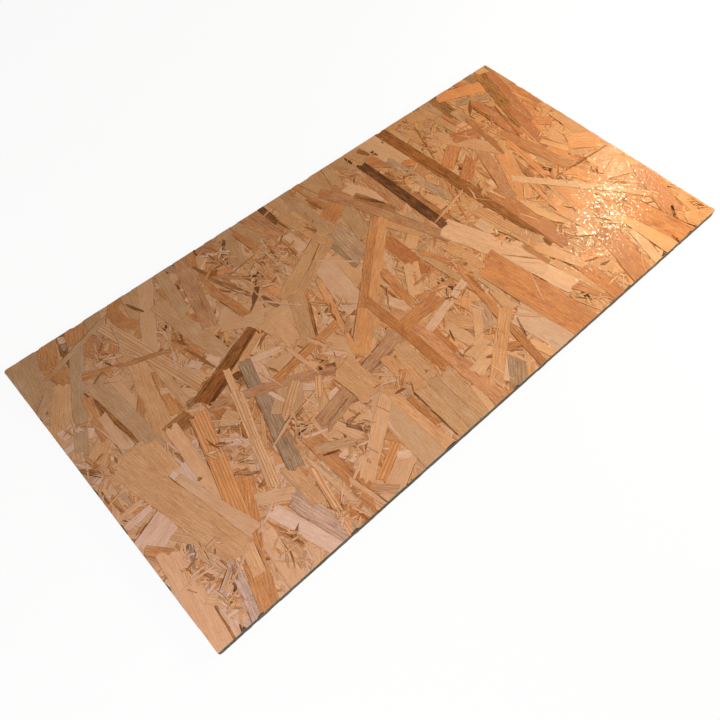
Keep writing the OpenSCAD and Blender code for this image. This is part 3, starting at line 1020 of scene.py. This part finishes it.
def wood(name, streak, fleck, light, dark, edge, matt, gloss, relief):
    """Procedural strand wood: fibres, growth lines, flecks, crushed edges with painted contact
    shade, and sawn ends in painted shade.
    """
    light, dark, edge = linear(*light), linear(*dark), linear(*edge)
    material = bpy.data.materials.new(name)
    material.use_nodes = True
    material.node_tree.nodes.clear()
    g = Graph(material.node_tree)
    grain = g.node("ShaderNodeUVMap", uv_map="grain").outputs[0]
    tint = g.node("ShaderNodeAttribute", attribute_name="tint").outputs["Color"]
    mark = g.node("ShaderNodeAttribute", attribute_name="mark")
    parts = g.node("ShaderNodeSeparateColor")
    g.feed(parts.inputs[0], mark.outputs["Color"])
    figure, rim, sawn = parts.outputs
    seed = mark.outputs["Alpha"]

    band = g.noise(grain, (0.014, 0.20))
    fibre = g.noise(grain, (0.09, 1.4), 4.0, 0.62)
    hair = g.noise(grain, (0.40, 5.5), 2.0)
    grit = g.noise(grain, (1.1, 2.2), 2.0, 0.7)
    cloud = g.noise(grain, (0.035, 0.07))

    # light and dark streaks along the grain, the broad ones also warmer or cooler
    level = 0.0
    for pattern, share in ((band, 1.1 * streak), (fibre, 2.3 * streak), (hair, 1.0 * streak),
                           (grit, 0.85), (cloud, 0.9 * streak)):
        level = g.math("ADD", level, g.math("MULTIPLY", g.math("SUBTRACT", pattern, 0.5), share))
    warm = g.mix(g.span(band, 0.42, 0.68), tint, g.mix(0.45, tint, dark))
    colour = g.mix(g.math("MULTIPLY", level, -1.6, clamp=True), warm, dark)
    colour = g.mix(g.math("MULTIPLY", level, 1.1, clamp=True), colour, g.mix(0.5, tint, light))

    # growth lines, which drift from side to side and break up along the fibres
    across = g.node("ShaderNodeSeparateXYZ")
    g.feed(across.inputs[0], grain)
    drift = g.math("MULTIPLY", g.noise(grain, (0.012, 0.10), 2.0), LINE_DRIFT)
    wave = g.math("SINE", g.math("ADD", g.math(
        "MULTIPLY", across.outputs[1], 2 * math.pi / LINE_PITCH), drift))
    line = g.math("MULTIPLY", g.span(wave, 0.15, 0.90), g.span(fibre, 0.24, 0.52))
    colour = g.mix(g.math("MULTIPLY", line, figure, clamp=True), colour, g.mix(0.25, dark, tint))

    # short dark flecks and open pores, then crushed edges with painted contact shade, and sawn
    # ends in painted shade
    pore = g.span(g.noise(grain, (0.10, 1.9), 3.0, 0.65), 0.62, 0.72)
    colour = g.mix(g.math("MULTIPLY", pore, fleck), colour, edge)
    # crushed rims darkened: partly the crushed wood, partly painted contact shade where an upper
    # strand steps down on to a lower one
    rim_wear_and_shade = g.span(g.noise(grain, (0.09, 0.09), 1.0), 0.40, 0.65, 0.0, 0.75)
    colour = g.mix(g.math("MULTIPLY", rim, rim_wear_and_shade), colour, edge)
    # sawn ends painted dark grey-green: the shade and cool bounce light of edges turned from the
    # lamps, with the fibres showing through
    colour = g.mix(g.math("MULTIPLY", sawn, 0.85), colour, g.mix(
        g.span(fibre, 0.35, 0.65), linear(*SAWN_PAINTED_SHADE_DARK), linear(*SAWN_PAINTED_SHADE_PALE)))

    # smooth beads of resin shine, the rest is matt and fibrous
    resin = g.span(g.noise(grain, (0.31, 0.52), 3.0, 0.6), 0.56, 0.61)
    bead = g.math("MULTIPLY", g.noise(grain, (0.80, 1.10), 1.0), 1.1)
    dull = g.math("ADD", matt, g.math("MULTIPLY", seed, 0.12))
    rough = g.math("ADD", fibre, g.math("MULTIPLY", hair, 0.5))
    bump = g.node("ShaderNodeBump")
    bump.inputs["Strength"].default_value = 0.55
    bump.inputs["Distance"].default_value = relief * MM
    g.feed(bump.inputs["Height"],
           g.math("MULTIPLY_ADD", resin, g.math("SUBTRACT", bead, rough), rough))

    shader = g.node("ShaderNodeBsdfPrincipled")
    g.feed(shader.inputs["Base Color"], colour)
    g.feed(shader.inputs["Roughness"],
           g.math("MULTIPLY_ADD", resin, g.math("SUBTRACT", RESIN, dull), dull))
    g.feed(shader.inputs["Specular IOR Level"], gloss)
    g.feed(shader.inputs["Normal"], bump.outputs[0])
    g.feed(g.node("ShaderNodeOutputMaterial").inputs["Surface"], shader.outputs[0])
    return material


LINE_PITCH = 2.7      # distance of the growth lines, in mm
LINE_DRIFT = 9.0      # how far they drift, in radians
RESIN = 0.14          # roughness of the resin
# colours of the sawn ends: painted shade, dark grey-green like an edge in shadow under cool bounce
# light
SAWN_PAINTED_SHADE_DARK = (26, 50, 50)
SAWN_PAINTED_SHADE_PALE = (58, 84, 80)
CREAM = (244, 216, 178)
# Each kind of wood: strength of its streaks and flecks, its light streaks, its dark streaks and
# lines, its crushed edges (dark of the flecks, and painted contact shade at the rims), then its
# roughness, its gloss and the height of its grain in mm
WOODS = {kind: wood(kind + "_wood", *look) for kind, look in {
    "pale": (0.50, 0.40, CREAM, (184, 122, 78), (112, 74, 48), 0.54, 0.40, 0.14),
    "honey": (0.62, 0.55, CREAM, (158, 100, 54), (92, 58, 34), 0.56, 0.40, 0.14),
    "orange": (0.85, 0.60, (238, 190, 130), (130, 70, 32), (80, 44, 22), 0.58, 0.40, 0.16),
    "lined": (0.45, 0.40, CREAM, (158, 92, 44), (92, 56, 32), 0.56, 0.40, 0.14),
    "brown": (1.10, 0.70, (214, 150, 86), (66, 38, 18), (40, 25, 14), 0.52, 0.10, 0.22),
    "grey": (0.80, 0.60, (236, 208, 180), (112, 84, 56), (76, 56, 38), 0.52, 0.20, 0.16),
    # strand ends of the sawn edges, mostly covered by the painted shade of the sawn ends
    "edge": (0.70, 0.50, (190, 170, 130), (90, 68, 46), (50, 44, 34), 0.62, 0.15, 0.16),
}.items()}


# ---------------------------------------------------------------- the two faces
def face_outline(rng):
    """Outline of a face: broken corners, nicks, and the slight raggedness of the saw cut."""
    corners = [Vector(c) for c in ((-HALF_L, -HALF_W), (HALF_L, -HALF_W), (HALF_L, HALF_W),
                                   (-HALF_L, HALF_W))]
    loop = []
    for i, nicks in enumerate((FRONT_NICKS, RIGHT_NICKS, REAR_NICKS, LEFT_NICKS)):
        start, end = corners[i], corners[(i + 1) % 4]
        length = (end - start).length
        along = (end - start) / length
        inward = Vector((-along.y, along.x))
        radius, reach = RADII[i], RADII[(i + 1) % 4]
        # round the corner at the start of this side
        hub = start + (along + inward) * radius
        for step in range(ARC_STEPS + 1):
            turn = math.pi / 2 * step / ARC_STEPS
            loop.append(hub - along * radius * math.cos(turn) - inward * radius * math.sin(turn))
        # the sides run counter-clockwise, the nicks are given clockwise
        whole = 2 * (HALF_W if i % 2 else HALF_L)
        nicks = [(whole - at - size, size) for at, size in nicks]
        marks = []
        for at, size in nicks:
            marks += [(at, 0.0), (at + 0.25 * size, 0.7 * NICK_DEPTH),
                      (at + 0.8 * size, NICK_DEPTH), (at + size, 0.0)]
        at = radius + 4
        while at < length - reach - 3:
            if not any(a - 2 < at < a + size + 2 for a, size in nicks):
                marks.append((at, rng.uniform(0.0, RAGGED)))
            at += rng.uniform(3, 9)
        for at, depth in sorted(marks):
            loop.append(start + along * at + inward * (INSET + depth))
    return loop


def loose(rng, bed_count, mid_count, chip_count):
    """The random strands of a face, from a bed of large ones up to small chips."""
    bed = scatter(rng, bed_count, (45, 110), (8, 26), 0.5, FILL)
    settle(bed, rng, -0.80, -0.55)
    mid = scatter(rng, mid_count, (12, 50), (2, 9), 0.7, FILL)
    settle(mid, rng, -0.62, -0.40)
    small = scatter(rng, chip_count, (5, 26), (0.8, 3.2), 0.9, CHIP)
    settle(small, rng, -0.50, -0.32, 0.12)
    return bed + mid + small


def patch(rng, spots):
    """Patches of fine chips."""
    chips = [chip for x, y, radius in spots for chip in fines(rng, x, y, radius, CHIP)]
    settle(chips, rng, -0.45, -0.20, 0.14)
    return chips


def splinters(rng, count):
    """Thin splinters lying over everything else."""
    made = scatter(rng, count, (8, 36), (0.7, 2.4), 0.6, LIGHT)
    settle(made, rng, -0.12, -0.05)
    return made


def top_strands(rng):
    """The strands of the top face, from the lowest up."""
    landmarks = []
    for row in STRANDS:
        strand = Strand(*row)
        landmarks += slit(rng, strand) + [strand]
    settle(landmarks, rng, -0.36, -0.08)
    return (loose(rng, 600, 900, 2600) + landmarks + patch(rng, FINES) + splinters(rng, 60)
            + [part for row in VOIDS for part in opening(rng, *row)])


def under_strands(rng):
    """The strands of the underside, a random lay."""
    cover = scatter(rng, 420, (28, 95), (6, 22), 0.55, FILL + CHIP)
    settle(cover, rng, -0.35, -0.08)
    patches = [(rng.uniform(-HALF_L, HALF_L), rng.uniform(-HALF_W, HALF_W), rng.uniform(7, 15))
               for _ in range(36)]
    holes = [part for _ in range(16) for part in opening(
        rng, rng.uniform(20 - HALF_L, HALF_L - 20), rng.uniform(20 - HALF_W, HALF_W - 20),
        rng.uniform(0, 180), rng.uniform(3, 9), rng.uniform(2, 4))]
    return loose(rng, 450, 350, 500) + cover + patch(rng, patches) + splinters(rng, 70) + holes


def lay_face(prefix, strands, rng, place, pieces):
    """Arrange one face and put its tiles in the pieces of their families."""
    board = face_outline(rng)
    flat, bits = arrange(board, strands, rng)

    def sawn(point):
        if abs(point.x) < HALF_L - SAWN_ZONE and abs(point.y) < HALF_W - SAWN_ZONE:
            return False
        return edge_distance(point, board) < ON_CUT

    for bit in bits:
        family = bit[0].family
        if family is None:
            continue
        name = prefix + family
        if name not in pieces:
            pieces[name] = Piece(name, WOODS[family])
        tile(pieces[name], flat, bit, place, -SKIN, sawn)


def upper(x, y, h):
    """Place on the top face."""
    return MIDDLE + Vector((x, y, THICK + h)) * MM


def under(x, y, h):
    """Place on the underside, turned over about the length."""
    return MIDDLE + Vector((x, -y, -h)) * MM


# ---------------------------------------------------------------- the sawn edges
def edge_path():
    """The plain outline of the board: points, outward normals and distances along it."""
    path, normals = [], []
    for i, (sx, sy) in enumerate(((-1, -1), (1, -1), (1, 1), (-1, 1))):
        hub = Vector((sx * (HALF_L - RADII[i]), sy * (HALF_W - RADII[i])))
        for step in range(ARC_STEPS + 1):
            turn = math.pi * (1 + i / 2) + math.pi / 2 * step / ARC_STEPS
            out = Vector((math.cos(turn), math.sin(turn)))
            path.append(hub + out * RADII[i])
            normals.append(out)
    path.append(path[0])
    normals.append(normals[0])
    along = [0.0]
    for a, b in zip(path, path[1:]):
        along.append(along[-1] + (b - a).length)
    return path, normals, along


PATH, NORMALS, ALONG = edge_path()


def round_edge(u, v, h):
    """Place on the sawn edges: along the outline, up from the underside, and outwards."""
    i = min(max(bisect.bisect(ALONG, u) - 1, 0), len(PATH) - 2)
    t = (u - ALONG[i]) / (ALONG[i + 1] - ALONG[i])
    spot = PATH[i].lerp(PATH[i + 1], t) + NORMALS[i].lerp(NORMALS[i + 1], t) * h
    return MIDDLE + Vector((spot.x, spot.y, v)) * MM


def edge_strands(rng):
    """Layers of thin strand ends round the board, with gaps between some of them."""
    made = []
    pitch = (THICK - 2 * SKIN) / LAYERS
    for layer in range(LAYERS):
        u = -rng.uniform(0, 30)
        while u < ALONG[-1]:
            length = rng.uniform(9, 46)
            v = SKIN + (layer + 0.5 + rng.uniform(-0.25, 0.25)) * pitch
            rise = rng.uniform(-0.35, 0.35)
            made.append(Strand(u, v - rise, u + length, v + rise, pitch * rng.uniform(1.1, 1.6),
                               rng.choice(FILL), rng.uniform(-0.25, 0.25)))
            u += length - rng.uniform(-0.5, 3)
    rng.shuffle(made)
    settle(made, rng, -0.35, -0.05)
    for _ in range(EDGE_GAPS):
        u = rng.uniform(0, ALONG[-1])
        v = rng.uniform(1.6, THICK - 1.6)
        length = rng.uniform(4, 14)
        made.append(Strand(u, v, u + length, v + rng.uniform(-0.3, 0.3),
                           rng.uniform(0.35, 0.8), "void"))
    return made


def lay_edge(rng, pieces):
    """The sawn edges, as one band of tiles round the board."""
    board = [Vector((u, SKIN)) for u in ALONG] + [
        Vector((u, THICK - SKIN)) for u in reversed(ALONG)]
    strands = edge_strands(rng)
    flat, bits = arrange(board, strands, rng, ALONG[1:-1])
    band = Piece("sawn_edges", WOODS["edge"])
    for bit in bits:
        if bit[0].family:
            tile(band, flat, bit, round_edge, -BAND, lambda point: True, 1.0)
    pieces["sawn_edges"] = band


# ---------------------------------------------------------------- the core
def lay_core(rng, pieces):
    """The closed core under the face strands, uneven where voids open on to it."""
    core = Piece("core", WOODS["brown"])
    columns, rows = 120, 60
    reach_x, reach_y = HALF_L - BAND, HALF_W - BAND
    # the core is dark brown and half darkened like a crushed rim: partly its inner wood, partly
    # painted shade for the voids through which it shows
    tint = (*linear(112, 66, 36), 1.0)
    mark = (0.4, 0.5, 0.0, 0.5)

    def spot(i, j):
        return -reach_x + 2 * reach_x * i / columns, -reach_y + 2 * reach_y * j / rows

    for place in (upper, under):
        first = len(core.points)
        island = []
        for i in range(columns + 1):
            for j in range(rows + 1):
                brink = i in (0, columns) or j in (0, rows)
                core.point(place(*spot(i, j), -SKIN - (0 if brink else rng.uniform(0.0, 0.5))))
        for i in range(columns):
            for j in range(rows):
                corners = [(i, j), (i + 1, j), (i + 1, j + 1), (i, j + 1)]
                spots = [spot(*c) for c in corners]
                start = core.face(tuple(first + a * (rows + 1) + b for a, b in corners), tint,
                                  [mark] * 4, [(y, x) for x, y in spots])
                island += [(start + k, x + reach_x, y + reach_y)
                           for k, (x, y) in enumerate(spots)]
        core.islands.append((2 * reach_x, 2 * reach_y, island))

    # the four sides, between the brinks of the two faces, and their island in rows
    size = (columns + 1) * (rows + 1)
    run, fall, per_row, pitch = 5.0, 7.0, 90, 6.0

    def top(i, j):
        return i * (rows + 1) + j

    def bottom(i, j):
        return size + i * (rows + 1) + rows - j

    rim = [(i, 0) for i in range(columns)] + [(columns, j) for j in range(rows)]
    rim += [(columns - i, rows) for i in range(columns)] + [(0, rows - j) for j in range(rows)]
    island = []
    for k, a in enumerate(rim):
        b = rim[(k + 1) % len(rim)]
        start = core.face((top(*a), bottom(*a), bottom(*b), top(*b)), tint, [mark] * 4,
                          [(k * run, 0), (k * run, fall), (k * run + run, fall),
                           (k * run + run, 0)])
        for corner, (x, y) in enumerate(((0, 1), (0, 0), (1, 0), (1, 1))):
            island.append((start + corner, (k % per_row + x) * run,
                           (k // per_row + y * 0.9) * pitch))
    core.islands.append((per_row * run, pitch * (len(rim) // per_row + 1), island))
    pieces["core"] = core


# ---------------------------------------------------------------- floor, light and camera
def white_to_camera(tree, surface, share):
    """Mix a plain white glow into what the camera and mirror rays see."""
    g = Graph(tree)
    path = g.node("ShaderNodeLightPath")
    seen = g.math("MAXIMUM", path.outputs["Is Camera Ray"], path.outputs["Is Glossy Ray"],
                  clamp=True)
    glow = g.node("ShaderNodeEmission")
    g.feed(glow.inputs["Color"], (1.0, 1.0, 1.0))
    g.feed(glow.inputs["Strength"], 1.0)
    mix = g.node("ShaderNodeMixShader")
    for socket, value in zip(mix.inputs, (g.math("MULTIPLY", seen, share), surface,
                                          glow.outputs[0])):
        g.feed(socket, value)
    return mix.outputs[0]


def lay_floor(scene):
    """A pale floor that looks almost white."""
    mesh = bpy.data.meshes.new("floor")
    mesh.from_pydata([(-FLOOR, -FLOOR, 0), (FLOOR, -FLOOR, 0), (FLOOR, FLOOR, 0),
                      (-FLOOR, FLOOR, 0)], [], [(0, 1, 2, 3)])
    floor = bpy.data.objects.new("floor", mesh)
    floor.location.z = -FLOOR_DROP
    scene.collection.objects.link(floor)
    paint = bpy.data.materials.new("floor_paint")
    paint.use_nodes = True
    tree = paint.node_tree
    shader = tree.nodes["Principled BSDF"]
    shader.inputs["Base Color"].default_value = (0.86, 0.86, 0.86, 1)
    shader.inputs["Roughness"].default_value = 0.9
    tree.links.new(white_to_camera(tree, shader.outputs[0], FLOOR_GLOW),
                   tree.nodes["Material Output"].inputs["Surface"])
    mesh.materials.append(paint)


def light_world(scene):
    """A dim white surrounding that looks plain white."""
    world = bpy.data.worlds.new("studio")
    scene.world = world
    world.use_nodes = True
    tree = world.node_tree
    sky = tree.nodes["Background"]
    sky.inputs["Color"].default_value = (1.0, 1.0, 1.0, 1)
    sky.inputs["Strength"].default_value = SKY
    tree.links.new(white_to_camera(tree, sky.outputs[0], 1.0),
                   tree.nodes["World Output"].inputs["Surface"])


def softbox(scene, name, place, aim, size, power, colour):
    """An area light turned towards a point."""
    lamp = bpy.data.lights.new(name, "AREA")
    lamp.shape = "RECTANGLE"
    lamp.size, lamp.size_y = size
    lamp.energy = power
    lamp.color = colour
    made = bpy.data.objects.new(name, lamp)
    made.location = place
    made.rotation_euler = (Vector(aim) - Vector(place)).to_track_quat("-Z", "Y").to_euler()
    scene.collection.objects.link(made)


def set_camera(scene):
    """The photo's camera, solved from the corners of the board."""
    lens = bpy.data.cameras.new("camera")
    lens.lens = 35.69
    lens.sensor_width = 36.0
    lens.shift_x = 0.0113
    right = Vector((0.73966, -0.67295, -0.00096))
    up = Vector((0.57386, 0.63, 0.5232))
    ahead = Vector((0.35149, 0.38756, -0.8522))
    turn = Matrix((right, up, -ahead)).transposed()
    camera = bpy.data.objects.new("camera", lens)
    camera.matrix_world = Matrix.Translation((-0.28863, -0.27279, 0.52344)) @ turn.to_4x4()
    scene.collection.objects.link(camera)
    scene.camera = camera
    scene.view_settings.view_transform = "Standard"


# ---------------------------------------------------------------- build the board
rng = random.Random(20)
pieces = {}
lay_face("top_", top_strands(rng), rng, upper, pieces)
lay_face("under_", under_strands(rng), rng, under, pieces)
lay_edge(rng, pieces)
lay_core(rng, pieces)
for piece in pieces.values():
    piece.build()

scene = bpy.context.scene
lay_floor(scene)
light_world(scene)
for lamp in (
        ("left", (-0.45, -0.4, 0.5), (-0.15, 0.0, 0.0), (0.4, 0.4), 3.05, (1.0, 0.98, 0.97)),
        ("front", (0.55, -0.45, 0.36), (0.25, -0.08, 0.0), (0.25, 0.25), 3.9, (1.0, 0.94, 0.85)),
        ("right", (0.622, 0.074, 0.41), (0.22, -0.08, 0.0), (0.05, 0.12), 2.2, (1.0, 0.90, 0.68))):
    softbox(scene, *lamp)
set_camera(scene)
